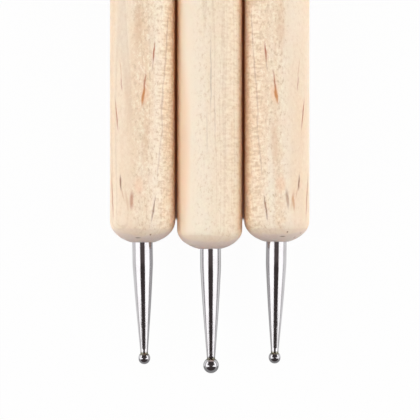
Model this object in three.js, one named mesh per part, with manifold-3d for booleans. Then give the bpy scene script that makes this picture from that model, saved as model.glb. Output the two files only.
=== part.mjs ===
// A set of three double-ended nail dotting tools that lie side by side. Lengths are in millimetres.
//
// Each tool is a turned wooden handle with domed ends. A polished steel shank is sunk in a bore in each
// end, and a small steel ball is welded to the end of each shank's thin neck.
//
// The tools lie on the plane z = 0 along Y, with their front tips towards -Y and the left tool at -X.
// The origin is under the middle of the middle handle, on the face that it rests on.

import * as THREE from "three";
import { mergeVertices } from "three/addons/utils/BufferGeometryUtils.js";
import Module from "manifold-3d";

// Handle: its width across opposite facets, and its length between the tops of its domes
const handleDiameter = 9.4;
const handleLength = 90;

// Shank: the round stock it is turned from, and the tang that the handle holds
const shankDiameter = 3;
const tangDepth = 16;
const tangChamfer = 0.3;

// Bore: the room for glue around the tang and past its end
const boreClearance = 0.05;
const boreEndGap = 0.25;

// Outside the handle a shank has a straight stretch, a taper and a neck. Small balls have a slender shank
// and larger ones a stout shank.
const slenderStraight = 2.9;
const slenderTaper = 12.2;
const slenderNeck = 0.7;
const stoutStraight = 2.5;
const stoutTaper = 12.8;
const stoutNeck = 0.35;

// Lengths over which the straight stretch eases into the taper, and the taper into the neck
const taperEasing = 2.4;
const neckEasing = 0.8;

// Balls, and the necks that they are welded to
const leftFrontBall = 1.75;
const leftFrontNeck = 1.15;
const leftRearBall = 1.2;
const leftRearNeck = 0.85;
const middleFrontBall = 2.25;
const middleFrontNeck = 1.2;
const middleRearBall = 3;
const middleRearNeck = 1.5;
const rightFrontBall = 1.75;
const rightFrontNeck = 1.15;
const rightRearBall = 2.5;
const rightRearNeck = 1.35;

// Heights of the domes, which are finished by hand
const leftDomeHeight = 3.4;
const middleDomeHeight = 3.05;
const rightDomeHeight = 3.3;

// Where each shank leaves its dome, towards +X from the handle's middle
const leftFrontOffset = -0.02;
const leftRearOffset = 0.04;
const middleFrontOffset = 0.12;
const middleRearOffset = -0.05;
const rightFrontOffset = -0.05;
const rightRearOffset = 0.03;

// Space between two neighbouring handles, and how far the outer tools lie towards +Y of the middle one
const toolGap = 0.28;
const leftShift = 0.9;
const rightShift = 1;

// Each tool has a stylus, which is a shank with its ball, at its front and its rear. A lean turns a stylus
// about +Z, in degrees.
const slender = { straight: slenderStraight, taper: slenderTaper, neck: slenderNeck };
const stout = { straight: stoutStraight, taper: stoutTaper, neck: stoutNeck };
const tools = {
  left: {
    shift: leftShift,
    domeHeight: leftDomeHeight,
    front: {
      shank: slender, width: leftFrontNeck, ball: leftFrontBall, offset: leftFrontOffset, lean: 0.9,
    },
    rear: {
      shank: slender, width: leftRearNeck, ball: leftRearBall, offset: leftRearOffset, lean: -0.4,
    },
  },
  middle: {
    shift: 0,
    domeHeight: middleDomeHeight,
    front: {
      shank: stout, width: middleFrontNeck, ball: middleFrontBall, offset: middleFrontOffset, lean: 0.25,
    },
    rear: {
      shank: stout, width: middleRearNeck, ball: middleRearBall, offset: middleRearOffset, lean: 0.3,
    },
  },
  right: {
    shift: rightShift,
    domeHeight: rightDomeHeight,
    front: {
      shank: slender, width: rightFrontNeck, ball: rightFrontBall, offset: rightFrontOffset, lean: -0.9,
    },
    rear: {
      shank: stout, width: rightRearNeck, ball: rightRearBall, offset: rightRearOffset, lean: 0.5,
    },
  },
};

// Facets. Each count of sides is a multiple of four, so that flat facets face up, down, left and right.
// A dome and a ball have twice as many rings as their steps here, because an ellipse takes two a step.
const handleSides = 40;
const domeSteps = 4;
const shankSides = 20;
const easingSteps = 4;
const ballSides = 20;
const ballSteps = 5;

// How far a cutter reaches past the surface that it opens
const cutterReach = 1;

const wood = new THREE.MeshStandardMaterial({ color: 0xf0dcc0, roughness: 0.45, metalness: 0 });
const shankSteel = new THREE.MeshStandardMaterial({ color: 0xc9cacc, roughness: 0.16, metalness: 1 });
const ballSteel = new THREE.MeshStandardMaterial({ color: 0xd2d3d5, roughness: 0.08, metalness: 1 });

const wasm = await Module();
wasm.setup();

// A profile of (radius, y) points revolved about Y, from its lowest point to its highest. Its radii are
// measured to the middle of the facets, and one facet faces +Z.
function revolved(profile, sides) {
  const halfFacet = Math.PI / sides;
  const corners = profile.map((point) => new THREE.Vector2(point.x / Math.cos(halfFacet), point.y));
  const turned = new THREE.LatheGeometry(corners, sides, -halfFacet);
  turned.deleteAttribute("normal");
  turned.deleteAttribute("uv");
  return withoutCollapsedFaces(mergeVertices(turned));
}

// The faces of a lathe that touch its axis have two corners in one place, and go.
function withoutCollapsedFaces(geometry) {
  const corners = geometry.index.array;
  const kept = [];
  for (let first = 0; first < corners.length; first += 3) {
    const [a, b, c] = corners.slice(first, first + 3);
    if (a !== b && b !== c && c !== a) {
      kept.push(a, b, c);
    }
  }
  geometry.setIndex(kept);
  return geometry;
}

function solidOf(geometry) {
  const mesh = new wasm.Mesh({
    numProp: 3,
    vertProperties: Float32Array.from(geometry.attributes.position.array),
    triVerts: Uint32Array.from(geometry.index.array),
  });
  return new wasm.Manifold(mesh);
}

function geometryOf(solid) {
  const mesh = solid.getMesh();
  const geometry = new THREE.BufferGeometry();
  geometry.setAttribute("position", new THREE.BufferAttribute(mesh.vertProperties, 3));
  geometry.setIndex(new THREE.BufferAttribute(mesh.triVerts, 1));
  return geometry;
}

function named(name, geometry, material) {
  geometry.computeVertexNormals();
  const mesh = new THREE.Mesh(geometry, material);
  mesh.name = name;
  return mesh;
}

// The place of a stylus in its tool: its frame's origin is where it crosses the plane of the dome's top,
// and its -Y points out of the handle.
function placeStylus(object, end, stylus) {
  const isRear = end === "rear";
  object.position.set(stylus.offset, (isRear ? 1 : -1) * handleLength / 2, 0);
  object.rotation.z = THREE.MathUtils.degToRad(stylus.lean) + (isRear ? Math.PI : 0);
  object.updateMatrix();
  return object;
}

// Both domes are half ellipses that run tangent into the round side.
function handleProfile(domeHeight) {
  const radius = handleDiameter / 2;
  const domeBase = handleLength / 2 - domeHeight;
  const outline = new THREE.Path();
  outline.absellipse(0, -domeBase, radius, domeHeight, -Math.PI / 2, 0);
  outline.absellipse(0, domeBase, radius, domeHeight, 0, Math.PI / 2);
  return outline.getPoints(domeSteps);
}

// The room that a shank's tang takes in the handle, open at the dome.
function boreCutter() {
  const radius = shankDiameter / 2 + boreClearance;
  const depth = tangDepth + boreEndGap;
  const outline = [[0, -cutterReach], [radius, -cutterReach], [radius, depth], [0, depth]];
  return revolved(outline.map(([x, y]) => new THREE.Vector2(x, y)), shankSides);
}

function handleGeometry(tool) {
  let handle = solidOf(revolved(handleProfile(tool.domeHeight), handleSides));
  for (const end of ["front", "rear"]) {
    const place = placeStylus(new THREE.Object3D(), end, tool[end]);
    handle = handle.subtract(solidOf(boreCutter().applyMatrix4(place.matrix)));
  }
  return geometryOf(handle);
}

// From the neck's flat end, through the taper and the straight stretch, to the tang's chamfered end. A
// quadratic curve eases each corner of the taper, no further than the neck or the dome's top.
function shankGeometry(stylus) {
  const { straight, taper, neck } = stylus.shank;
  const radius = shankDiameter / 2;
  const neckRadius = stylus.width / 2;
  const slope = (radius - neckRadius) / taper;
  const taperEnd = straight + taper;
  const taperEase = Math.min(taperEasing / 2, straight);
  const neckEase = Math.min(neckEasing / 2, neck);
  const outline = new THREE.Path();
  outline.moveTo(0, -taperEnd - neck);
  outline.lineTo(neckRadius, -taperEnd - neck);
  outline.lineTo(neckRadius, -taperEnd - neckEase);
  outline.quadraticCurveTo(neckRadius, -taperEnd, neckRadius + slope * neckEase, -taperEnd + neckEase);
  outline.lineTo(radius - slope * taperEase, -straight - taperEase);
  outline.quadraticCurveTo(radius, -straight, radius, -straight + taperEase);
  outline.lineTo(radius, tangDepth - tangChamfer);
  outline.lineTo(radius - tangChamfer, tangDepth);
  outline.lineTo(0, tangDepth);
  return revolved(outline.getPoints(easingSteps), shankSides);
}

// A sphere with a flat where the neck's end is welded on, so that the two meet face to face.
function ballGeometry(stylus) {
  const { straight, taper, neck } = stylus.shank;
  const radius = stylus.ball / 2;
  const flatHeight = Math.sqrt(radius ** 2 - (stylus.width / 2) ** 2);
  const centre = -straight - taper - neck - flatHeight;
  const outline = new THREE.Path();
  outline.absarc(0, centre, radius, -Math.PI / 2, Math.asin(flatHeight / radius));
  outline.lineTo(0, centre + flatHeight);
  return revolved(outline.getPoints(ballSteps), ballSides);
}

function makeStylus(toolName, end, stylus) {
  const group = placeStylus(new THREE.Group(), end, stylus);
  group.add(named(`${toolName}_${end}_shank`, shankGeometry(stylus), shankSteel));
  group.add(named(`${toolName}_${end}_ball`, ballGeometry(stylus), ballSteel));
  return group;
}

function makeTool(toolName, tool) {
  const group = new THREE.Group();
  group.add(named(`${toolName}_handle`, handleGeometry(tool), wood));
  group.add(makeStylus(toolName, "front", tool.front));
  group.add(makeStylus(toolName, "rear", tool.rear));
  return group;
}

const dottingTools = new THREE.Group();
["left", "middle", "right"].forEach((toolName, index) => {
  const tool = makeTool(toolName, tools[toolName]);
  tool.position.set((index - 1) * (handleDiameter + toolGap), tools[toolName].shift, handleDiameter / 2);
  dottingTools.add(tool);
});

export default dottingTools;
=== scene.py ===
"""Three double-ended nail dotting tools that lie side by side on a pale floor.

Each tool is a turned wooden handle with domed ends. A polished steel shank stands in a bore in each end,
and a small steel ball is welded to the end of its thin neck. Shapes are worked out in millimetres in the
frame's axes: the tools lie along Y with their front tips towards -Y, and +Z is up.
"""

import logging
import math
from collections.abc import Sequence
from dataclasses import dataclass, field, replace
from enum import Enum
from functools import partial, reduce

import bpy
import numpy as np
from mathutils import Matrix, Vector


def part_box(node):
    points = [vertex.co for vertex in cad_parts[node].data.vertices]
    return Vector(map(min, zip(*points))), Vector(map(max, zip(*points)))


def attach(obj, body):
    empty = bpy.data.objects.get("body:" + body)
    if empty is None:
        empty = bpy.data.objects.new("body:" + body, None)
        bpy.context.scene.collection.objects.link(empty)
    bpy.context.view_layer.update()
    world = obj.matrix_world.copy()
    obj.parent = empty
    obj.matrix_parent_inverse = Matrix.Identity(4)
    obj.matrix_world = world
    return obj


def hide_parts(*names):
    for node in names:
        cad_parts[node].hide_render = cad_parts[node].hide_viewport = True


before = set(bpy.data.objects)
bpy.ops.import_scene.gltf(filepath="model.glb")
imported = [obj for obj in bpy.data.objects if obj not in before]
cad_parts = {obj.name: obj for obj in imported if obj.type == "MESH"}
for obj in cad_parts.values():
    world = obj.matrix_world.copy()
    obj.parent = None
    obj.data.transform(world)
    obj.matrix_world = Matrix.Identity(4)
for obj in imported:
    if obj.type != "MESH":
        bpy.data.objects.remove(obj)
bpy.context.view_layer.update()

log = logging.getLogger("dotting_tools")

METRES_PER_MM = 0.001
NEAR_WELD = "near_weld"

Colour = tuple[float, float, float, float]
Triple = tuple[float, float, float]
Span = tuple[float, float]

WHITE: Colour = (1, 1, 1, 1)
# The values between which most of a noise lies
NOISE_SPAN: Span = (0.3, 0.7)


def srgb(red: int, green: int, blue: int) -> Colour:
    """Turns a colour's screen values into the linear values that a shader takes.

    Args:
        red, green, blue: The screen values, from 0 to 255.

    Returns:
        The linear red, green, blue and an alpha of one.
    """
    screen = np.array([red, green, blue]) / 255
    linear = np.where(screen <= 0.04045, screen / 12.92, ((screen + 0.055) / 1.055) ** 2.4)
    return (*linear.tolist(), 1.0)


def turned_about_y(radii: np.ndarray, heights: np.ndarray, sides: int) -> np.ndarray:
    """Rings of a profile turned about the Y axis.

    The point at turn a on ring i is (r_i sin a, y_i, r_i cos a), so a runs from +Z towards +X.

    Args:
        radii: The radius of each ring.
        heights: The Y of each ring, in rising order along the outside.
        sides: How many points go round a ring.

    Returns:
        Points of shape (rings, sides, 3).
    """
    turn = np.linspace(0, 2 * np.pi, sides, endpoint=False)
    across = radii[:, None] * np.sin(turn)
    up = radii[:, None] * np.cos(turn)
    along = np.broadcast_to(heights[:, None], across.shape)
    return np.stack([across, along, up], axis=-1)


def skin_over_rings(name: str, rings: np.ndarray, poles: np.ndarray | None = None) -> bpy.types.Object:
    """Makes a closed piece whose skin runs over a stack of rings from one pole to the other.

    The skin is a grid P(i, j): i counts the rings, j goes round each one, and a ring's last point joins its
    first. Four neighbours make a face, and a fan of triangles closes each end onto its pole.

    Args:
        name: The piece's name.
        rings: Points in millimetres, of shape (rings, sides, 3).
        poles: The two points that the first and the last ring close onto. Without them, these rings close
            onto their own middles.

    Returns:
        The piece, at the origin, with its place in its mesh.
    """
    count, sides, _ = rings.shape
    if poles is None:
        poles = rings[[0, -1]].mean(axis=1)
    points = np.concatenate([poles[:1], rings.reshape(-1, 3), poles[1:]]) * METRES_PER_MM
    here = 1 + np.arange(sides)
    beside = 1 + (np.arange(sides) + 1) % sides
    lower = sides * np.arange(count - 1)[:, None]
    quads = np.stack([lower + here, lower + beside, lower + sides + beside, lower + sides + here], axis=-1)
    last = sides * (count - 1)
    first_fan = np.stack([np.zeros(sides, int), beside, here], axis=-1)
    last_fan = np.stack([last + here, last + beside, np.full(sides, len(points) - 1)], axis=-1)
    corners = np.concatenate([first_fan.ravel(), quads.ravel(), last_fan.ravel()])
    face_sizes = np.concatenate([np.full(sides, 3), np.full(quads.size // 4, 4), np.full(sides, 3)])
    mesh = bpy.data.meshes.new(name)
    mesh.vertices.add(len(points))
    mesh.vertices.foreach_set("co", points.ravel())
    mesh.loops.add(len(corners))
    mesh.loops.foreach_set("vertex_index", corners)
    mesh.polygons.add(len(face_sizes))
    mesh.polygons.foreach_set("loop_start", np.cumsum(face_sizes) - face_sizes)
    mesh.polygons.foreach_set("use_smooth", np.ones(len(face_sizes), bool))
    mesh.update(calc_edges=True)
    mesh.validate()
    piece = bpy.data.objects.new(name, mesh)
    bpy.context.scene.collection.objects.link(piece)
    return piece


def mark_rings(piece: bpy.types.Object, attribute: str, shares: np.ndarray, sides: int) -> None:
    """Marks the points of a piece that skin_over_rings made.

    Args:
        piece: The piece.
        attribute: The name of the mark.
        shares: The mark of each ring.
        sides: How many points go round a ring.
    """
    marks = np.concatenate([shares[:1], np.repeat(shares, sides), shares[-1:]])
    piece.data.attributes.new(attribute, "FLOAT", "POINT").data.foreach_set("value", marks)


class NodeGraph:
    """The nodes of one material or world, with short calls that add and join them."""

    def __init__(self, owner: bpy.types.Material | bpy.types.World) -> None:
        """Clears the owner's nodes.

        Args:
            owner: The material or world to be filled.
        """
        owner.use_nodes = True
        self.tree = owner.node_tree
        self.tree.nodes.clear()

    def add(
        self, kind: str, inputs: dict[str | int, object] | None = None, **settings: object
    ) -> bpy.types.Node:
        """Adds a node.

        Args:
            kind: The node's type.
            inputs: What goes into its sockets: another node's output, or a value.
            settings: The node's own settings.

        Returns:
            The node.
        """
        node = self.tree.nodes.new(kind)
        for setting, value in settings.items():
            setattr(node, setting, value)
        for socket, value in (inputs or {}).items():
            if isinstance(value, bpy.types.NodeSocket):
                self.tree.links.new(value, node.inputs[socket])
            else:
                node.inputs[socket].default_value = value
        return node

    def math(self, operation: str, *values: object, clamp: bool = False) -> bpy.types.NodeSocket:
        """Adds a Math node on the given values, and returns its output."""
        node = self.add("ShaderNodeMath", dict(enumerate(values)), operation=operation, use_clamp=clamp)
        return node.outputs[0]

    def vector_math(self, operation: str, *values: object) -> bpy.types.Node:
        """Adds a Vector Math node on the given vectors, and returns it."""
        return self.add("ShaderNodeVectorMath", dict(enumerate(values)), operation=operation)

    def step(
        self, value: object, start: float, end: float, low: float = 0, high: float = 1
    ) -> bpy.types.NodeSocket:
        """Adds a smooth step.

        Args:
            value: What the step depends on.
            start: The value where the step starts, at low.
            end: The value where it ends, at high.
            low: The output before the step.
            high: The output after it.

        Returns:
            The step's output.
        """
        inputs = {"Value": value, "From Min": start, "From Max": end, "To Min": low, "To Max": high}
        return self.add("ShaderNodeMapRange", inputs, interpolation_type="SMOOTHSTEP").outputs["Result"]

    def mix(self, share: object, first: object, second: object) -> bpy.types.NodeSocket:
        """Adds a mix of two colours, where a share of one gives the second, and returns the colour."""
        factor, colour_a, colour_b, result = 0, 6, 7, 2
        inputs = {factor: share, colour_a: first, colour_b: second}
        return self.add("ShaderNodeMix", inputs, data_type="RGBA").outputs[result]

    def blend(self, share: object, first: object, second: object) -> bpy.types.NodeSocket:
        """Adds a mix of two numbers, where a share of one gives the second, and returns the number."""
        return self.add("ShaderNodeMix", {0: share, 2: first, 3: second}).outputs[0]

    def place_in_mm(self) -> bpy.types.NodeSocket:
        """Adds the Object coordinates in millimetres, and returns them."""
        place = self.add("ShaderNodeTexCoord").outputs["Object"]
        return self.frame_of(place, Vector((0, 0, 0)), Matrix.Identity(3), (1, 1, 1))

    def frame_of(self, place: object, origin: Vector, turn: Matrix, unit: Triple) -> bpy.types.NodeSocket:
        """Adds the coordinates of a place in a frame of its own.

        Args:
            place: The Object coordinates, in metres.
            origin: The frame's origin, in millimetres.
            turn: The frame's rotation.
            unit: The length along each of the frame's axes that counts as one, in millimetres.

        Returns:
            The coordinates in the frame.
        """
        inputs = {
            "Vector": place,
            "Location": origin * METRES_PER_MM,
            "Rotation": turn.to_euler(),
            "Scale": Vector(unit) * METRES_PER_MM,
        }
        return self.add("ShaderNodeMapping", inputs, vector_type="TEXTURE").outputs[0]

    def noise(
        self, place: object, per_mm: Triple, detail: float = 2, roughness: float = 0.5
    ) -> bpy.types.Node:
        """Adds noise that is stretched by its own frequency along each axis.

        Args:
            place: Coordinates in millimetres.
            per_mm: Waves in a millimetre along each axis.
            detail: Octaves on top of the first.
            roughness: How much each octave adds.

        Returns:
            The noise node.
        """
        stretched = self.vector_math("MULTIPLY", place, per_mm).outputs[0]
        inputs = {"Vector": stretched, "Scale": 1.0, "Detail": detail, "Roughness": roughness}
        return self.add("ShaderNodeTexNoise", inputs)

    def noise_around_zero(self, place: object, per_mm: Triple, detail: float = 2) -> bpy.types.NodeSocket:
        """Adds noise along all three axes that swings about zero, and returns it as a vector."""
        noise = self.noise(place, per_mm, detail).outputs["Color"]
        return self.vector_math("SUBTRACT", noise, (0.5, 0.5, 0.5)).outputs[0]

    def bump(self, height: object, distance: float, strength: float) -> bpy.types.NodeSocket:
        """Adds relief whose height of one is a distance in millimetres, and returns the normal."""
        inputs = {"Strength": strength, "Distance": distance * METRES_PER_MM, "Height": height}
        return self.add("ShaderNodeBump", inputs).outputs[0]

    def finish(self, shader: bpy.types.NodeSocket, kind: str = "ShaderNodeOutputMaterial") -> None:
        """Joins the last shader to the output."""
        self.add(kind, {"Surface": shader})


class End(Enum):
    """An end of a tool. The value is the side of the handle's middle that it lies on, along Y."""

    FRONT = -1
    REAR = 1


class Tone(Enum):
    """A colour of darker fibres in the wood. The soft ones come first, and the others lie over them."""

    BLUSH = srgb(246, 208, 176)
    TAN = srgb(222, 186, 150)
    RUSSET = srgb(188, 118, 84)
    BROWN = srgb(150, 98, 62)
    ORANGE = srgb(206, 138, 78)
    GREY = srgb(160, 136, 114)


@dataclass(frozen=True)
class Streak:
    """A lens of darker fibres, which shows where the handle's skin cuts it.

    It lies at an angle round the handle, in degrees from the top towards +X, and at a distance along the
    handle from its front end. Its slant turns it clockwise, seen from outside. Lengths are in millimetres.
    """

    angle: float
    along: float
    length: float
    width: float
    slant: float
    tone: Tone
    strength: float

    def mirrored(self) -> "Streak":
        """The same streak on the other side of the handle's top."""
        return replace(self, angle=-self.angle, slant=-self.slant)

    def turned(self, angle: float, length: float) -> "Streak":
        """The same streak moved round a handle of this length, and to its other end."""
        return replace(self, angle=self.angle + angle, along=length - self.along)


@dataclass(frozen=True)
class WoodFinish:
    """Pale turned wood under a thin satin varnish.

    Its figure is solid, in a frame of the wood's own: X runs across the growth layers, Y along the grain and
    Z along the layers. The skin that faces along Z is flecked, because there it cuts the rays along their
    length. A name that ends in per_mm counts waves in a millimetre along each axis, and one that ends in _at
    is the span over which a step runs. Lengths are in millimetres.
    """

    pale: Colour
    warm: Colour
    figure_turn: float
    fleck_low: float
    fleck_high: float
    fleck_start: float
    fleck_full: float
    seed: float
    # Painted shade on the listed sides, towards the neighbouring handles: how much, from where, and in what
    # brown.
    gap_shade_sides: tuple[float, ...]
    gap_shade_share: float = 0.27
    gap_shade_from: float = 0.79
    gap_shade_tone: Colour = srgb(252, 166, 84)
    sway_per_mm: Triple = (0.10, 0.035, 0.10)
    sway: float = 1.6
    cloud_per_mm: Triple = (0.30, 0.035, 0.30)
    cloud_at: Span = (0.36, 0.66)
    cloud_share: float = 0.8
    band_per_mm: Triple = (1.1, 0.01, 0.03)
    band_at: Span = (0.42, 0.64)
    band_share: float = 0.45
    line_per_mm: Triple = (0.75, 0.007, 0.025)
    line_at: Span = (0, 0.022)
    line_share: float = 0.25
    line_tone: Colour = srgb(204, 172, 138)
    fleck_per_mm: Triple = (2.6, 1.6, 2.6)
    fleck_light: Colour = srgb(255, 242, 220)
    fleck_light_at: Span = (0.53, 0.63)
    fleck_dark: Colour = srgb(219, 193, 159)
    fleck_dark_at: Span = (0.46, 0.36)
    ray_per_mm: Triple = (0.8, 2.6, 1.6)
    ray_light_at: Span = (0.54, 0.64)
    ray_delay: float = 1.2
    ray_full: float = 4.6
    ray_share: float = 0.7
    waver_per_mm: Triple = (2.2, 0.7, 2.2)
    waver: float = 0.3
    streak_depth: float = 0.5
    streak_at: Span = (1.1, 0.3)
    end_warm: Colour = srgb(232, 210, 188)
    # Grey of the end grain, which also serves as painted shade past the tilted edge and towards the tip.
    end_grey_and_shade: Colour = srgb(228, 208, 200)
    end_share: float = 0.5
    end_waver_per_mm: Triple = (0.4, 0.2, 0.4)
    end_waver: float = 0.9
    end_start: float = 0.45
    end_warm_at: Span = (-0.1, 0.1)
    end_second: float = 1.1
    shade_edge_at: Span = (-0.15, 0.35)
    end_tilt: float = 0.3
    tip_shade_offset: float = 0.4
    fibre_per_mm: Triple = (7, 0.8, 7)
    fibre_height: float = 0.6
    relief: float = 0.03
    relief_strength: float = 0.4
    roughness: float = 0.5
    roughness_spread: float = 0.06
    specular: float = 0.35
    subsurface: float = 0.2
    subsurface_reach: Triple = (1.0, 0.5, 0.3)

    def material(
        self, name: str, shape: "HandleShape", middle: Vector, streaks: Sequence[Streak]
    ) -> bpy.types.Material:
        """Makes the wood of one handle.

        Args:
            name: The material's name.
            shape: The handle's shape, which the streaks and the end grain follow.
            middle: The middle of the handle.
            streaks: The darker streaks of this handle.

        Returns:
            The material.
        """
        material = bpy.data.materials.new(name)
        graph = NodeGraph(material)
        place = graph.add("ShaderNodeTexCoord").outputs["Object"]
        turn = Matrix.Rotation(math.radians(self.figure_turn), 3, "Y")
        grain = graph.frame_of(place, middle, turn, (1, 1, 1))
        moved = graph.vector_math("ADD", grain, (self.seed, 3 * self.seed, 0)).outputs[0]

        colour = self.layers(graph, moved)
        flecks, colour = self.flecks(graph, grain, moved, colour)
        upright = graph.frame_of(place, middle, Matrix.Identity(3), (1, 1, 1))
        colour = self.end_grain(graph, upright, moved, colour, shape)
        colour = self.streaks(graph, place, moved, colour, shape, middle, streaks)
        # Painted shade browns the sides that face the neighbouring handles.
        colour = self.paint_gap_shade(graph, upright, colour, shape)

        fibre = graph.noise(moved, self.fibre_per_mm, detail=3, roughness=0.6).outputs[0]
        height = graph.math("MULTIPLY_ADD", fibre, self.fibre_height, flecks)
        smooth, rough = self.roughness - self.roughness_spread, self.roughness + self.roughness_spread
        shader = graph.add(
            "ShaderNodeBsdfPrincipled",
            {
                "Base Color": colour,
                "Roughness": graph.step(fibre, *NOISE_SPAN, smooth, rough),
                "Normal": graph.bump(height, self.relief, self.relief_strength),
                "Specular IOR Level": self.specular,
                "Subsurface Weight": self.subsurface,
                "Subsurface Radius": self.subsurface_reach,
                "Subsurface Scale": METRES_PER_MM,
            },
        )
        graph.finish(shader.outputs[0])
        return material

    def layers(self, graph: NodeGraph, moved: object) -> bpy.types.NodeSocket:
        """Adds the growth layers: soft clouds, bands along the layers and thin lines between some of them.

        All of them sway from side to side along the grain. A line lies where the noise passes its middle.

        Args:
            graph: The material's nodes.
            moved: Coordinates in the wood's frame, moved by its seed.

        Returns:
            The colour.
        """
        shift = graph.noise_around_zero(moved, self.sway_per_mm, detail=1)
        swayed = graph.vector_math("MULTIPLY_ADD", shift, (self.sway, 0, self.sway), moved).outputs[0]
        cloud = graph.noise(swayed, self.cloud_per_mm).outputs[0]
        colour = graph.mix(graph.step(cloud, *self.cloud_at, 0, self.cloud_share), self.pale, self.warm)
        band = graph.noise(swayed, self.band_per_mm).outputs[0]
        colour = graph.mix(graph.step(band, *self.band_at, 0, self.band_share), colour, self.warm)
        contour = graph.math("SUBTRACT", graph.noise(swayed, self.line_per_mm).outputs[0], 0.5)
        line = graph.step(graph.math("ABSOLUTE", contour), *self.line_at, self.line_share, 0)
        return graph.mix(line, colour, self.line_tone)

    def flecks(
        self, graph: NodeGraph, grain: object, moved: object, colour: object
    ) -> tuple[bpy.types.NodeSocket, bpy.types.NodeSocket]:
        """Adds round flecks, and the short ends of rays that cross the grain, where the skin faces along Z.

        Args:
            graph: The material's nodes.
            grain: Coordinates in the wood's frame.
            moved: The same, moved by its seed.
            colour: The colour so far.

        Returns:
            The height of the flecks, and the colour.
        """
        facing = graph.add("ShaderNodeSeparateXYZ", {"Vector": grain}).outputs[2]
        zone = graph.step(facing, self.fleck_start, self.fleck_full, self.fleck_low, self.fleck_high)
        fleck = graph.noise(moved, self.fleck_per_mm, detail=3, roughness=0.75).outputs[0]
        dark = graph.math("MULTIPLY", graph.step(fleck, *self.fleck_dark_at), zone)
        light = graph.math("MULTIPLY", graph.step(fleck, *self.fleck_light_at), zone)
        colour = graph.mix(dark, colour, self.fleck_dark)
        colour = graph.mix(light, colour, self.fleck_light)
        ray_start, ray_share = self.fleck_full + self.ray_delay, self.ray_share * self.fleck_high
        ray_zone = graph.step(facing, ray_start, self.ray_full, 0, ray_share)
        ray = graph.noise(moved, self.ray_per_mm, detail=1).outputs[0]
        light_ray = graph.math("MULTIPLY", graph.step(ray, *self.ray_light_at), ray_zone)
        dark_ray = graph.math("MULTIPLY", graph.step(ray, *self.fleck_dark_at), ray_zone)
        colour = graph.mix(light_ray, colour, self.fleck_light)
        colour = graph.mix(dark_ray, colour, self.fleck_dark)
        return graph.math("SUBTRACT", light, dark), colour

    def streaks(
        self,
        graph: NodeGraph,
        place: object,
        moved: object,
        colour: object,
        shape: "HandleShape",
        middle: Vector,
        streaks: Sequence[Streak],
    ) -> bpy.types.NodeSocket:
        """Adds the streaks of darker fibres, with edges that waver a little.

        Args:
            graph: The material's nodes.
            place: The Object coordinates, in metres.
            moved: Coordinates in the wood's frame, moved by its seed.
            colour: The colour so far.
            shape: The handle's shape.
            middle: The middle of the handle.
            streaks: The streaks.

        Returns:
            The colour.
        """
        shift = graph.noise_around_zero(moved, self.waver_per_mm)
        reach = self.waver * METRES_PER_MM
        wavering = graph.vector_math("MULTIPLY_ADD", shift, (reach, 0, reach), place).outputs[0]
        for tone in Tone:
            masks = [
                self.streak_mask(graph, wavering, shape, middle, streak)
                for streak in streaks
                if streak.tone is tone
            ]
            if masks:
                colour = graph.mix(reduce(partial(graph.math, "MAXIMUM"), masks), colour, tone.value)
        return colour

    def streak_mask(
        self, graph: NodeGraph, place: object, shape: "HandleShape", middle: Vector, streak: Streak
    ) -> bpy.types.NodeSocket:
        """Adds where one streak lies.

        The streak is an ellipsoid on the handle's skin, and the mask falls from its middle to its edge.

        Args:
            graph: The material's nodes.
            place: The Object coordinates, in metres.
            shape: The handle's shape.
            middle: The middle of the handle.
            streak: The streak.

        Returns:
            The share of the streak's tone, from zero to its strength.
        """
        turn = Matrix.Rotation(math.radians(streak.angle), 3, "Y")
        height = streak.along - shape.length / 2
        outwards = turn @ Vector((0, 0, 1))
        centre = middle + outwards * shape.radius_at(height) + Vector((0, height, 0))
        turn = turn @ Matrix.Rotation(math.radians(-streak.slant), 3, "Z")
        local = graph.frame_of(place, centre, turn, (streak.width / 2, streak.length / 2, self.streak_depth))
        distance = graph.vector_math("LENGTH", local).outputs["Value"]
        return graph.step(distance, *self.streak_at, 0, streak.strength)

    def end_grain(
        self, graph: NodeGraph, upright: object, moved: object, colour: object, shape: "HandleShape"
    ) -> bpy.types.NodeSocket:
        """Adds the end grain of the domes: warm past the crease, then greyer past a second, tilted edge and
        towards the tip, which is partly end grain and partly painted shade where the dome turns from the
        light.

        Args:
            graph: The material's nodes.
            upright: Coordinates from the handle's middle, along the row's axes.
            moved: Coordinates in the wood's frame, moved by its seed.
            colour: The colour so far.
            shape: The handle's shape.

        Returns:
            The colour.
        """
        axes = graph.add("ShaderNodeSeparateXYZ", {"Vector": upright}).outputs
        from_middle = graph.math("ABSOLUTE", axes[1])
        waver = graph.noise(moved, self.end_waver_per_mm).outputs[0]
        beyond = graph.math("MULTIPLY_ADD", waver, self.end_waver, from_middle)
        shade_distance = graph.math("MULTIPLY_ADD", axes[2], -self.end_tilt, beyond)
        top = shape.length / 2
        first = top - shape.crease_height + self.end_start
        second = first + self.end_second - self.end_tilt * shape.diameter / 2
        # The last two steps are partly painted shade: greyer past the tilted edge, where the dome turns away
        # from the light, and greyer towards its tip.
        for distance, start, end, tone in (
            (beyond, first + self.end_warm_at[0], first + self.end_warm_at[1], self.end_warm),
            (shade_distance, second + self.shade_edge_at[0], second + self.shade_edge_at[1], self.end_grey_and_shade),
            (beyond, first + self.tip_shade_offset, top, self.end_grey_and_shade),
        ):
            colour = graph.mix(graph.step(distance, start, end, 0, self.end_share), colour, tone)
        return colour

    def paint_gap_shade(
        self, graph: NodeGraph, upright: object, colour: object, shape: "HandleShape"
    ) -> bpy.types.NodeSocket:
        """Paints shade on the sides that face the neighbouring handles: they are browned towards the gaps
        between the handles, where shade falls.

        Args:
            graph: The material's nodes.
            upright: Coordinates from the handle's middle, along the row's axes.
            colour: The colour so far.
            shape: The handle's shape.

        Returns:
            The colour.
        """
        across = graph.add("ShaderNodeSeparateXYZ", {"Vector": upright}).outputs[0]
        radius = shape.diameter / 2
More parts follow.
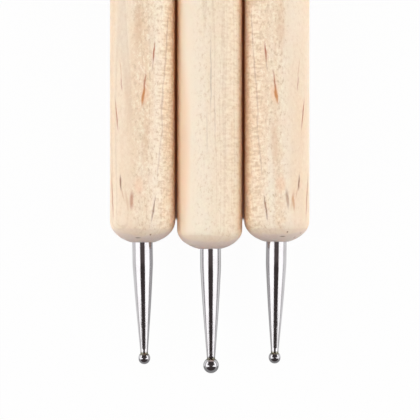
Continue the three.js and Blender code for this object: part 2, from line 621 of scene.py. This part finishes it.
        # Painted shade: each listed side is browned from part of the way out to its full radius, where it
        # faces a neighbouring handle across a shaded gap.
        for side in self.gap_shade_sides:
            towards = graph.math("MULTIPLY", across, side)
            gap_shading = graph.step(towards, self.gap_shade_from * radius, radius, 0, self.gap_shade_share)
            colour = graph.mix(gap_shading, colour, self.gap_shade_tone)
        return colour


@dataclass(frozen=True)
class SteelFinish:
    """Polished steel with faint clouds, and fine lines round it from the turning.

    Where the points of a piece are marked with NEAR_WELD, it is darker: partly the weld's heat tint, partly
    painted shade in place of the shadow that it mirrors there. Lengths are in millimetres.
    """

    tone: Colour
    cloud_tone: Colour
    roughness: float
    lines_per_mm: float
    line_height: float
    bump_strength: float
    across_per_mm: float = 0.15
    cloud_per_mm: Triple = (0.9, 0.5, 0.9)
    cloud_share: float = 0.5
    relief: float = 0.008
    smoothest: float = 0.8
    roughest: float = 1.25
    # Darker tone near the weld: partly heat tint, partly painted shade.
    heat_tint_and_shade: Colour = srgb(124, 120, 104)
    weld_at: Span = (0.1, 0.8)

    def material(self, name: str) -> bpy.types.Material:
        """Makes the steel, and returns the material."""
        material = bpy.data.materials.new(name)
        graph = NodeGraph(material)
        place = graph.place_in_mm()
        line_waves = (self.across_per_mm, self.lines_per_mm, self.across_per_mm)
        lines = graph.noise(place, line_waves, roughness=0.6).outputs[0]
        cloud = graph.noise(place, self.cloud_per_mm).outputs[0]
        tone = graph.mix(graph.step(cloud, *NOISE_SPAN, 0, self.cloud_share), self.tone, self.cloud_tone)
        near_weld = graph.add("ShaderNodeAttribute", attribute_name=NEAR_WELD).outputs["Fac"]
        # Painted shade, partly heat tint: darker near the weld.
        tone = graph.mix(graph.step(near_weld, *self.weld_at), tone, self.heat_tint_and_shade)
        height = graph.math("MULTIPLY_ADD", lines, self.line_height, cloud)
        smooth, rough = self.roughness * self.smoothest, self.roughness * self.roughest
        shader = graph.add(
            "ShaderNodeBsdfPrincipled",
            {
                "Base Color": tone,
                "Metallic": 1.0,
                "Roughness": graph.step(lines, *NOISE_SPAN, smooth, rough),
                "Normal": graph.bump(height, self.relief, self.bump_strength),
            },
        )
        graph.finish(shader.outputs[0])
        return material


@dataclass(frozen=True)
class Shank:
    """The stretches of a shank that stand out of the handle, in millimetres."""

    straight: float
    taper: float
    neck: float


@dataclass(frozen=True)
class Stylus:
    """A shank with its ball. Lengths are in millimetres and the lean about +Z is in degrees."""

    shank: Shank
    neck_width: float
    ball: float
    offset: float
    lean: float


@dataclass(frozen=True)
class HandleShape:
    """The sizes of a handle, in millimetres."""

    dome_height: float
    length: float = 90
    diameter: float = 9.4
    crease_height: float = 2.2
    crease_dip: float = 0.045

    def dome_rise(self, distance: np.ndarray) -> np.ndarray:
        """The height of a dome above its base.

        It is a half ellipse on the handle's radius. Inside the crease it dips by a shallow parabola, so that
        the slope jumps a little at the crease.

        Args:
            distance: Distances from the handle's axis.

        Returns:
            The height at each distance.
        """
        radius = self.diameter / 2
        rise = self.dome_height * np.sqrt(np.clip(1 - (distance / radius) ** 2, 0, 1))
        crease_rise = (self.dome_height - self.crease_height) / self.dome_height
        crease_radius = radius * math.sqrt(1 - crease_rise ** 2)
        inside = np.clip(1 - distance / crease_radius, 0, 1)
        return rise - self.crease_dip * 4 * inside * (1 - inside) * (inside > 0)

    def radius_at(self, height: float) -> float:
        """The handle's radius at a distance along Y from its middle."""
        rise = (abs(height) - self.length / 2 + self.dome_height) / self.dome_height
        return self.diameter / 2 * math.sqrt(1 - min(max(rise, 0), 0.999) ** 2)


@dataclass
class DottingTool:
    """One dotting tool: a handle with a stylus in each end. Lengths are in millimetres."""

    name: str
    handle: HandleShape
    front: Stylus
    rear: Stylus
    wood: WoodFinish
    streaks: tuple[Streak, ...]
    shank_diameter: float = 3
    tang_depth: float = 16
    tang_chamfer: float = 0.3
    bore_clearance: float = 0.05
    bore_end_gap: float = 0.25
    mouth_rounding: float = 0.12
    weld_fillet: float = 0.1
    # How far from the weld the painted shade and heat tint reach.
    weld_shade_reach: float = 0.45
    taper_easing: float = 1.1
    taper_bulge: float = 0.065
    neck_fall: float = 0.035
    stem_inside: float = 2
    bore_top: float = 0.5
    bore_rings: int = 24
    lip_rings: int = 6
    dome_rings: int = 60
    side_rings: int = 88
    stem_rings: int = 320
    fillet_rings: int = 9
    handle_sides: int = 192
    shank_sides: int = 96
    ball_sides: int = 96
    middle: Vector = field(init=False)

    def __post_init__(self) -> None:
        """Takes the handle's middle from the frame."""
        low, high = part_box(f"{self.name}_handle")
        self.middle = (low + high) / 2 / METRES_PER_MM

    def build(self, shank_steel: bpy.types.Material, ball_steel: bpy.types.Material) -> None:
        """Makes and dresses the tool's five pieces.

        Args:
            shank_steel: The finish of the shanks.
            ball_steel: The finish of the balls.
        """
        self.build_handle()
        for end, stylus in ((End.FRONT, self.front), (End.REAR, self.rear)):
            self.dress(self.make_shank(end, stylus), shank_steel)
            self.dress(self.make_ball(end, stylus), ball_steel)

    def dress(self, piece: bpy.types.Object, material: bpy.types.Material) -> None:
        """Gives a piece its finish, and lets it stand for the solid of the same name.

        Args:
            piece: The piece.
            material: Its finish.
        """
        piece.data.materials.append(material)
        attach(piece, f"{self.name}_tool")
        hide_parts(piece.name.removesuffix("_skin"))
        log.info("%s: %d faces", piece.name, len(piece.data.polygons))

    def circles(self, radii: np.ndarray, centres: np.ndarray) -> tuple[np.ndarray, np.ndarray]:
        """Circles round the handle's Y axis, with their centres moved towards +X.

        The point at turn a on circle i lies c_i + r_i sin a across and r_i cos a up.

        Args:
            radii: The circles' radii.
            centres: How far each centre is moved.

        Returns:
            Across and up, both of shape (circles, sides).
        """
        turn = np.linspace(0, 2 * np.pi, self.handle_sides, endpoint=False)
        return centres[:, None] + radii[:, None] * np.sin(turn), radii[:, None] * np.cos(turn)

    def handle_end(self, end: End, stylus: Stylus) -> np.ndarray:
        """The rings of one end of the handle, from the bore's bottom out to the round side.

        In the bore, a ring is a circle round the leaning axis of the shank. A quarter circle rounds the
        bore's mouth. On the dome, the circle's centre slides from the mouth's to the handle's axis as it
        widens, and each point lies as high as the dome does at its own distance from the handle's axis.

        Args:
            end: The end of the handle.
            stylus: The stylus that the end holds.

        Returns:
            Points of shape (rings, sides, 3).
        """
        side = self.handle.diameter / 2
        bore = self.shank_diameter / 2 + self.bore_clearance
        mouth = bore + self.mouth_rounding

        depth = np.linspace(self.tang_depth + self.bore_end_gap, self.bore_top, self.bore_rings)
        inwards = math.tan(math.radians(stylus.lean)) * end.value
        bore_across, bore_up = self.circles(np.full_like(depth, bore), stylus.offset + inwards * depth)
        bore_along = np.broadcast_to(self.handle.length / 2 - depth[:, None], bore_up.shape)

        lip = np.linspace(np.pi / 2, 0, self.lip_rings, endpoint=False)
        lip_radius = mouth - self.mouth_rounding * np.sin(lip)
        lip_drop = self.mouth_rounding * (1 - np.cos(lip))
        spread = np.linspace(math.asin(mouth / side), np.pi / 2, self.dome_rings)
        dome_radius = side * np.sin(spread)
        dome_centre = stylus.offset * (side - dome_radius) / (side - mouth)

        radius = np.concatenate([lip_radius, dome_radius])
        centre = np.concatenate([np.full_like(lip_radius, stylus.offset), dome_centre])
        drop = np.concatenate([lip_drop, np.zeros_like(dome_radius)])
        across, up = self.circles(radius, centre)
        base = self.handle.length / 2 - self.handle.dome_height
        along = base + self.handle.dome_rise(np.hypot(across, up)) - drop[:, None]

        inside = np.stack([bore_across, end.value * bore_along, bore_up], axis=-1)
        outside = np.stack([across, end.value * along, up], axis=-1)
        return np.concatenate([inside, outside])

    def build_handle(self) -> None:
        """Makes the wooden handle, with a blind bore in each end."""
        front = self.handle_end(End.FRONT, self.front)
        rear = self.handle_end(End.REAR, self.rear)[::-1]
        base = self.handle.length / 2 - self.handle.dome_height
        heights = np.linspace(-base, base, self.side_rings + 2)[1:-1]
        side = turned_about_y(np.full_like(heights, self.handle.diameter / 2), heights, self.handle_sides)
        rings = np.concatenate([front, side, rear]) + np.array(self.middle)
        piece = skin_over_rings(f"{self.name}_handle_skin", rings)
        wood = self.wood.material(f"{self.name}_wood", self.handle, self.middle, self.streaks)
        self.dress(piece, wood)

    def stylus_frame(self, end: End, stylus: Stylus) -> Matrix:
        """The frame of a stylus: its origin is in the plane of the dome's top, and its -Y points outwards."""
        start = self.middle + Vector((stylus.offset, end.value * self.handle.length / 2, 0))
        turn = math.radians(stylus.lean) + (math.pi if end is End.REAR else 0)
        return Matrix.Translation(start) @ Matrix.Rotation(turn, 4, "Z")

    def placed(self, points: np.ndarray, end: End, stylus: Stylus) -> np.ndarray:
        """Moves points from a stylus' frame into the row's, in millimetres."""
        place = np.array(self.stylus_frame(end, stylus))
        return points @ place[:3, :3].T + place[:3, 3]

    def ball_reach(self, stylus: Stylus) -> float:
        """How far the ball's middle stands out of the dome's top."""
        shank = stylus.shank
        flat = math.sqrt((stylus.ball / 2) ** 2 - (stylus.neck_width / 2) ** 2)
        return shank.straight + shank.taper + shank.neck + flat

    def stem_radius(self, out: np.ndarray, stylus: Stylus) -> np.ndarray:
        """The radius of a shank from its straight stretch to the end of its neck.

        Along the taper the radius falls evenly, and a half sine wave on top keeps the taper a little full.
        Over the taper's last quarter, half of the neck's fall is added bit by bit, and along the neck the
        radius falls evenly by the whole of it. A running average eases the taper's first corner. It fades
        out over a quarter of the taper's length, from its middle on.

        Args:
            out: Distances out of the dome's top, at even steps.
            stylus: The stylus.

        Returns:
            The radius at each distance.
        """
        shank, stock, neck = stylus.shank, self.shank_diameter / 2, stylus.neck_width / 2
        taper_end = shank.straight + shank.taper
        share = np.clip((out - shank.straight) / shank.taper, 0, 1)
        radius = stock - (stock - neck) * (share - self.taper_bulge * np.sin(np.pi * share))
        last_quarter = np.clip(4 * share - 3, 0, 1)
        along_neck = np.clip((out - taper_end) / (out[-1] - taper_end), 0, 1)
        radius += self.neck_fall * last_quarter * (0.5 - along_neck)
        window = max(3, round(self.taper_easing / (out[1] - out[0])))
        padded = np.pad(radius, (window // 2, window - 1 - window // 2), mode="edge")
        eased = np.convolve(padded, np.ones(window) / window, mode="valid")
        past_middle = np.clip((out - shank.straight - shank.taper / 2) / (shank.taper / 4), 0, 1)
        return eased * (1 - past_middle) + radius * past_middle

    def make_shank(self, end: End, stylus: Stylus) -> bpy.types.Object:
        """Makes a shank: tang, straight stretch, taper, neck and weld fillet, turned about its axis.

        The fillet is an arc that touches the neck and the ball. The tang is straight, with a chamfered end.

        Args:
            end: The end of the handle that it stands in.
            stylus: Its sizes.

        Returns:
            The shank.
        """
        stock, neck, ball = self.shank_diameter / 2, stylus.neck_width / 2, stylus.ball / 2
        fillet = self.weld_fillet
        reach = self.ball_reach(stylus)
        arc_rise = math.sqrt((ball + fillet) ** 2 - (neck + fillet) ** 2)
        arc_start = reach - arc_rise
        arc_end = reach - arc_rise * ball / (ball + fillet)

        tang = np.array([-self.tang_depth, -self.tang_depth + self.tang_chamfer, -self.tang_depth / 2])
        tang_radius = np.array([stock - self.tang_chamfer, stock, stock])
        out = np.linspace(-self.stem_inside, arc_start, self.stem_rings)
        radius = self.stem_radius(out, stylus)
        arc = np.linspace(arc_start, arc_end, self.fillet_rings + 1)[1:]
        arc_radius = radius[-1] + fillet - np.sqrt(fillet ** 2 - (arc - arc_start) ** 2)

        distance = np.concatenate([tang, out, arc])[::-1]
        radii = np.concatenate([tang_radius, radius, arc_radius])[::-1]
        rings = self.placed(turned_about_y(radii, -distance, self.shank_sides), end, stylus)
        piece = skin_over_rings(f"{self.name}_{end.name.lower()}_shank_skin", rings)
        near_weld = np.clip(1 - (arc_end - distance) / self.weld_shade_reach, 0, 1)
        mark_rings(piece, NEAR_WELD, near_weld, self.shank_sides)
        return piece

    def make_ball(self, end: End, stylus: Stylus) -> bpy.types.Object:
        """Makes a ball, as a half circle turned about the stylus' axis.

        Args:
            end: The end of the tool that it is on.
            stylus: Its sizes.

        Returns:
            The ball.
        """
        latitude = np.linspace(-np.pi / 2, np.pi / 2, self.ball_sides // 2 + 1)[1:-1]
        radius = stylus.ball / 2
        centre = -self.ball_reach(stylus)
        rings = turned_about_y(radius * np.cos(latitude), centre + radius * np.sin(latitude), self.ball_sides)
        poles = np.array([[0, centre - radius, 0], [0, centre + radius, 0]])
        name = f"{self.name}_{end.name.lower()}_ball_skin"
        piece = skin_over_rings(name, self.placed(rings, end, stylus), self.placed(poles, end, stylus))
        weld = math.acos(stylus.neck_width / stylus.ball)
        near_weld = np.clip(1 - radius * (weld - latitude) / self.weld_shade_reach, 0, 1)
        mark_rings(piece, NEAR_WELD, near_weld, self.ball_sides)
        return piece


@dataclass
class Studio:
    """A white floor under a soft sky. Lengths are in millimetres, and a white sky has a strength of one.

    The sky is bright to the left and the right. Overhead it is dark in a slot, which is narrow where the
    shanks mirror it and wide where only the balls do. It is dark in front, grey at the rear and white just
    over the horizon. A name that ends in _at is the span over which a step runs.
    """

    camera_middle: Triple = (0.043, -39.185, 4.75)
    view_width: float = 60.6
    lens: float = 150
    sensor: float = 36
    clip: Span = (0.01, 20)
    floor_radius: float = 4000
    floor_corners: int = 64
    floor_glow: float = 0.97
    floor_paint: float = 0.7
    # A painted warm glow of the floor under the handles, in place of light bounced down by the wood.
    painted_warm_glow: Colour = (0.034, 0.007, 0.001, 1)
    covered_width: float = 27
    covered_length: float = 81.8
    covered_fade: float = 0.6
    shade_left_at: Span = (-6.5, -4)
    shade_right_at: Span = (3, 10.5)
    shade_between: float = 0.5
    shade_front_at: Span = (62, 64)
    shade_in_front: float = 0.35
    bright_low: float = 2.45
    bright_high: float = 9.6
    bright_high_at: Span = (0.3, 0.7)
    bright_mirrored: float = 1.8
    dark_overhead: float = 0.13
    dark_around: float = 0.062
    dark_around_at: Span = (0, 0.12)
    dark_rear: float = 0.55
    dark_rear_at: Span = (0.8, 0.95)
    dark_tone: Colour = (1, 0.8, 0.8, 1)
    slot: float = 0.48
    slot_softness: float = 0.03
    slot_lean: float = 0.1
    slot_widening: float = 0.7
    front_room: float = 0.6
    front_room_at: Span = (0.205, 0.255)
    rear_edge: float = 0.9
    rear_edge_at: Span = (-0.01, 0.06)
    rear_narrowing: float = 0.4
    horizon_at: Span = (0.24, 0.12)
    front_horizon: float = 0.3
    front_horizon_at: Span = (0.2, 0.7)

    def build(self) -> None:
        """Makes the floor, the sky and the camera."""
        self.build_floor()
        self.build_sky()
        self.build_camera()
        bpy.context.scene.view_settings.view_transform = "Standard"

    def build_floor(self) -> None:
        """Makes the white floor at z = 0, as a flat disc."""
        turn = np.linspace(0, 2 * np.pi, self.floor_corners, endpoint=False)
        rim = np.stack([np.cos(turn), np.sin(turn), np.zeros_like(turn)], axis=-1)
        rim *= self.floor_radius * METRES_PER_MM
        mesh = bpy.data.meshes.new("floor")
        mesh.from_pydata(rim.tolist(), [], [list(range(self.floor_corners))])
        mesh.materials.append(self.floor_material())
        floor = bpy.data.objects.new("floor", mesh)
        bpy.context.scene.collection.objects.link(floor)

    def floor_material(self) -> bpy.types.Material:
        """Makes the floor's paint.

        It glows white to the camera and in the steel, except under the handles, where it has a faint painted
        warm glow that stands in for the light that the wood bounces down. The steel mirrors less of the glow
        between the tools and in front of their tips.

        Returns:
            The material.
        """
        material = bpy.data.materials.new("floor_white")
        graph = NodeGraph(material)
        x, y, _ = graph.add("ShaderNodeSeparateXYZ", {"Vector": graph.place_in_mm()}).outputs
        beside, beyond = (
            graph.step(graph.math("ABSOLUTE", axis), size / 2 - self.covered_fade, size / 2)
            for axis, size in ((x, self.covered_width), (y, self.covered_length))
        )
        open_floor = graph.math("MAXIMUM", beside, beyond)
        path = graph.add("ShaderNodeLightPath").outputs
        seen = graph.math("MAXIMUM", path["Is Glossy Ray"], path["Is Transmission Ray"])
        seen = graph.math("MAXIMUM", path["Is Camera Ray"], seen)
        share = graph.math("MULTIPLY", graph.math("MULTIPLY", seen, self.floor_glow), open_floor)

        paint_tone = (self.floor_paint, self.floor_paint, self.floor_paint, 1)
        diffuse = graph.add("ShaderNodeBsdfDiffuse", {"Color": paint_tone}).outputs[0]
        # A painted warm glow under the handles, standing in for the light that the wood bounces down.
        warm = graph.add("ShaderNodeEmission", {"Color": self.painted_warm_glow, "Strength": 1.0}).outputs[0]
        paint_and_glow = graph.add("ShaderNodeAddShader", {0: diffuse, 1: warm}).outputs[0]

        left_shade = graph.step(x, *self.shade_left_at, 1, self.shade_between)
        right_shade = graph.step(x, *self.shade_right_at, self.shade_between, 1)
        shade = graph.math("MAXIMUM", left_shade, right_shade)
        in_front = graph.step(graph.math("MULTIPLY", y, -1.0), *self.shade_front_at)
        shade = graph.blend(in_front, shade, self.shade_in_front)
        strength = graph.math("MAXIMUM", path["Is Camera Ray"], shade)
        glow = graph.add("ShaderNodeEmission", {"Color": WHITE, "Strength": strength}).outputs[0]
        graph.finish(graph.add("ShaderNodeMixShader", {0: share, 1: paint_and_glow, 2: glow}).outputs[0])
        return material

    def slot_edge(self, graph: NodeGraph, y: object, z: object, to_front: object) -> bpy.types.NodeSocket:
        """Adds how far out to the left and right the dark slot reaches.

        The edge is a share of z. It moves out in proportion as the direction leans to the front, and by a
        wide step further to the front. To the rear it starts far out and narrows in proportion to y.

        Args:
            graph: The sky's nodes.
            y: How far the direction points to the rear.
            z: How far it points up.
            to_front: How far it points to the front.

        Returns:
            The slot's edge, as a distance from x = 0.
        """
        lean = graph.math("MULTIPLY_ADD", z, -self.slot_lean, to_front)
        lean = graph.math("MAXIMUM", lean, 0.0)
        edge = graph.math("MULTIPLY_ADD", lean, self.slot_widening, graph.math("MULTIPLY", z, self.slot))
        edge = graph.math("ADD", edge, graph.step(to_front, *self.front_room_at, 0, self.front_room))
        rear_edge = graph.math("MULTIPLY_ADD", y, -self.rear_narrowing, self.rear_edge)
        return graph.blend(graph.step(y, *self.rear_edge_at), edge, rear_edge)

    def build_sky(self) -> None:
        """Makes the light.

        A direction (x, y, z) is in the dark slot where |x| is less than the slot's edge. The bright sides
        are brighter higher up, and the steel mirrors them at one even, lower strength. Near the horizon the
        sky is white to the camera, and elsewhere it falls off there towards the front.
        """
        world = bpy.data.worlds.new("studio")
        bpy.context.scene.world = world
        graph = NodeGraph(world)
        towards = graph.add("ShaderNodeTexCoord").outputs["Generated"]
        x, y, z = graph.add("ShaderNodeSeparateXYZ", {"Vector": towards}).outputs
        to_front = graph.math("MULTIPLY", y, -1.0)
        path = graph.add("ShaderNodeLightPath").outputs

        past_edge = graph.math("SUBTRACT", graph.math("ABSOLUTE", x), self.slot_edge(graph, y, z, to_front))
        lit = graph.step(past_edge, -self.slot_softness, self.slot_softness)
        away = graph.math("ABSOLUTE", y)
        dark = graph.step(away, *self.dark_around_at, self.dark_overhead, self.dark_around)
        dark = graph.blend(graph.step(y, *self.dark_rear_at), dark, self.dark_rear)
        bright = graph.step(z, *self.bright_high_at, self.bright_low, self.bright_high)
        bright = graph.blend(path["Is Glossy Ray"], bright, self.bright_mirrored)
        strength = graph.blend(lit, dark, bright)

        horizon = graph.step(to_front, *self.front_horizon_at, 1, self.front_horizon)
        horizon = graph.math("MAXIMUM", path["Is Camera Ray"], horizon)
        low = graph.step(z, *self.horizon_at)
        strength = graph.blend(low, strength, horizon)
        colour = graph.mix(graph.math("MAXIMUM", lit, low), self.dark_tone, WHITE)
        shader = graph.add("ShaderNodeBackground", {"Color": colour, "Strength": strength}).outputs[0]
        graph.finish(shader, "ShaderNodeOutputWorld")

    def build_camera(self) -> None:
        """Makes the camera, which looks straight down with the front of the tools at the picture's foot."""
        data = bpy.data.cameras.new("camera")
        data.lens, data.sensor_width = self.lens, self.sensor
        data.clip_start, data.clip_end = self.clip
        distance = self.view_width * self.lens / self.sensor
        camera = bpy.data.objects.new("camera", data)
        camera.location = (Vector(self.camera_middle) + Vector((0, 0, distance))) * METRES_PER_MM
        bpy.context.scene.collection.objects.link(camera)
        bpy.context.scene.camera = camera


SLENDER = Shank(straight=2.9, taper=12.2, neck=0.7)
STOUT = Shank(straight=2.5, taper=12.8, neck=0.35)

OUTER_STREAKS = (
    Streak(angle=21.9, along=27.2, length=3.6, width=0.38, slant=5, tone=Tone.RUSSET, strength=0.95),
    Streak(angle=19.9, along=25.4, length=2.4, width=0.22, slant=7, tone=Tone.BROWN, strength=0.3),
    Streak(angle=5.4, along=22.6, length=4.6, width=0.34, slant=6, tone=Tone.RUSSET, strength=0.8),
    Streak(angle=3.1, along=21, length=3, width=0.55, slant=8, tone=Tone.ORANGE, strength=0.9),
    Streak(angle=6.6, along=21.4, length=3.6, width=1.6, slant=8, tone=Tone.BLUSH, strength=0.55),
    Streak(angle=50.1, along=29.9, length=8, width=0.36, slant=4, tone=Tone.BROWN, strength=0.28),
    Streak(angle=44.7, along=25.4, length=7.5, width=0.42, slant=5.5, tone=Tone.BROWN, strength=0.28),
    Streak(angle=38.9, along=20.8, length=7.5, width=0.4, slant=4.5, tone=Tone.BROWN, strength=0.28),
    Streak(angle=38.4, along=17.2, length=4.6, width=0.3, slant=-2, tone=Tone.BROWN, strength=0.25),
    Streak(angle=35.8, along=14.8, length=4.4, width=0.3, slant=10, tone=Tone.BROWN, strength=0.2),
    Streak(angle=31.2, along=11.7, length=6, width=0.3, slant=6, tone=Tone.BROWN, strength=0.25),
    Streak(angle=21.5, along=5.1, length=4.4, width=0.34, slant=9, tone=Tone.BROWN, strength=0.7),
    Streak(angle=-37.5, along=22.8, length=2.6, width=0.32, slant=-6, tone=Tone.RUSSET, strength=0.55),
    Streak(angle=-39.4, along=25, length=3.6, width=0.24, slant=-9, tone=Tone.TAN, strength=0.6),
    Streak(angle=-50.3, along=18.5, length=5.6, width=0.38, slant=-9, tone=Tone.RUSSET, strength=0.8),
    Streak(angle=-40, along=8.8, length=2.8, width=0.44, slant=-4, tone=Tone.BROWN, strength=0.8),
    Streak(angle=-35.5, along=7.3, length=2.6, width=0.3, slant=-18, tone=Tone.TAN, strength=0.7),
    Streak(angle=-26.5, along=6.3, length=3.8, width=0.5, slant=-10, tone=Tone.TAN, strength=0.5),
    Streak(angle=-64.8, along=6.8, length=8, width=0.5, slant=-7, tone=Tone.RUSSET, strength=0.7),
    Streak(angle=-4.5, along=8.5, length=3.4, width=1.8, slant=0, tone=Tone.BLUSH, strength=0.45),
    Streak(angle=6.6, along=14.5, length=8, width=1.3, slant=3, tone=Tone.TAN, strength=0.35),
    Streak(angle=-4.5, along=31, length=9, width=1.6, slant=2, tone=Tone.TAN, strength=0.4),
)
LEFT_STREAKS = (
    Streak(angle=-17.4, along=6.3, length=3.2, width=0.75, slant=2, tone=Tone.RUSSET, strength=0.66),
    Streak(angle=-10.5, along=0.95, length=0.24, width=1.1, slant=0, tone=Tone.GREY, strength=0.9),
    Streak(angle=19.9, along=1.4, length=0.34, width=0.36, slant=0, tone=Tone.BROWN, strength=0.8),
)
RIGHT_STREAKS = (
    Streak(angle=16.7, along=6.4, length=3.4, width=0.6, slant=-7, tone=Tone.BROWN, strength=0.55),
    Streak(angle=28.5, along=5.9, length=3, width=0.5, slant=-6, tone=Tone.ORANGE, strength=0.55),
    Streak(angle=12.5, along=1.05, length=0.24, width=1, slant=0, tone=Tone.GREY, strength=0.9),
    Streak(angle=19.5, along=1.7, length=0.34, width=0.34, slant=0, tone=Tone.BROWN, strength=0.8),
    Streak(angle=50.2, along=0.9, length=0.3, width=0.3, slant=0, tone=Tone.BROWN, strength=0.8),
    Streak(angle=57.9, along=1.5, length=0.3, width=0.3, slant=0, tone=Tone.BROWN, strength=0.8),
)
MIDDLE_STREAKS = (
    Streak(angle=-47.7, along=14.7, length=26, width=2.6, slant=0, tone=Tone.BLUSH, strength=0.4),
    Streak(angle=2, along=25, length=15, width=0.24, slant=0, tone=Tone.GREY, strength=0.35),
    Streak(angle=-4.6, along=17, length=8, width=0.22, slant=0, tone=Tone.GREY, strength=0.2),
    Streak(angle=9.1, along=18.8, length=9, width=0.22, slant=0, tone=Tone.GREY, strength=0.2),
)

SHANK_FINISH = SteelFinish(
    tone=srgb(200, 198, 200),
    cloud_tone=srgb(188, 184, 186),
    roughness=0.1,
    lines_per_mm=14,
    line_height=0.1,
    bump_strength=0.05,
)
BALL_FINISH = SteelFinish(
    tone=srgb(204, 203, 206),
    cloud_tone=srgb(190, 187, 189),
    roughness=0.12,
    lines_per_mm=6,
    line_height=0.2,
    bump_strength=0.1,
)


def turned_over(streaks: Sequence[Streak], angle: float) -> tuple[Streak, ...]:
    """Every other one of the streaks, moved to the rear end and turned by an angle."""
    return tuple(streak.turned(angle, HandleShape.length) for streak in streaks[::2])


def dotting_tools() -> list[DottingTool]:
    """The three tools, with their sizes and finishes."""
    mirrored = tuple(streak.mirrored() for streak in OUTER_STREAKS)
    left_wood = WoodFinish(
        pale=srgb(247, 232, 211),
        warm=srgb(241, 216, 186),
        figure_turn=52,
        fleck_low=0.25,
        fleck_high=0.8,
        fleck_start=1.2,
        fleck_full=2.7,
        seed=11,
        gap_shade_sides=(1,),
    )
    middle_wood = replace(
        left_wood,
        pale=srgb(247, 233, 212),
        warm=srgb(243, 225, 199),
        figure_turn=62,
        fleck_low=0.02,
        fleck_high=0.46,
        fleck_start=-0.9,
        fleck_full=1.2,
        seed=47,
        gap_shade_sides=(-1, 1),
    )
    right_wood = replace(left_wood, figure_turn=-52, seed=83, gap_shade_sides=(-1,))
    return [
        DottingTool(
            name="left",
            handle=HandleShape(dome_height=3.4),
            front=Stylus(SLENDER, neck_width=1.15, ball=1.75, offset=-0.02, lean=0.9),
            rear=Stylus(SLENDER, neck_width=0.85, ball=1.2, offset=0.04, lean=-0.4),
            wood=left_wood,
            streaks=OUTER_STREAKS + LEFT_STREAKS + turned_over(mirrored, 150),
        ),
        DottingTool(
            name="middle",
            handle=HandleShape(dome_height=3.05),
            front=Stylus(STOUT, neck_width=1.2, ball=2.25, offset=0.12, lean=0.25),
            rear=Stylus(STOUT, neck_width=1.5, ball=3, offset=-0.05, lean=0.3),
            wood=middle_wood,
            streaks=MIDDLE_STREAKS + turned_over(OUTER_STREAKS, 205),
        ),
        DottingTool(
            name="right",
            handle=HandleShape(dome_height=3.3),
            front=Stylus(SLENDER, neck_width=1.15, ball=1.75, offset=-0.05, lean=-0.9),
            rear=Stylus(STOUT, neck_width=1.35, ball=2.5, offset=0.03, lean=0.5),
            wood=right_wood,
            streaks=mirrored + RIGHT_STREAKS + turned_over(OUTER_STREAKS, 170),
        ),
    ]


def main() -> None:
    """Builds the studio and the tools."""
    logging.basicConfig(level=logging.INFO, format="%(message)s")
    Studio().build()
    shank_steel = SHANK_FINISH.material("shank_steel")
    ball_steel = BALL_FINISH.material("ball_steel")
    for tool in dotting_tools():
        tool.build(shank_steel, ball_steel)


if __name__ == "__main__":
    main()
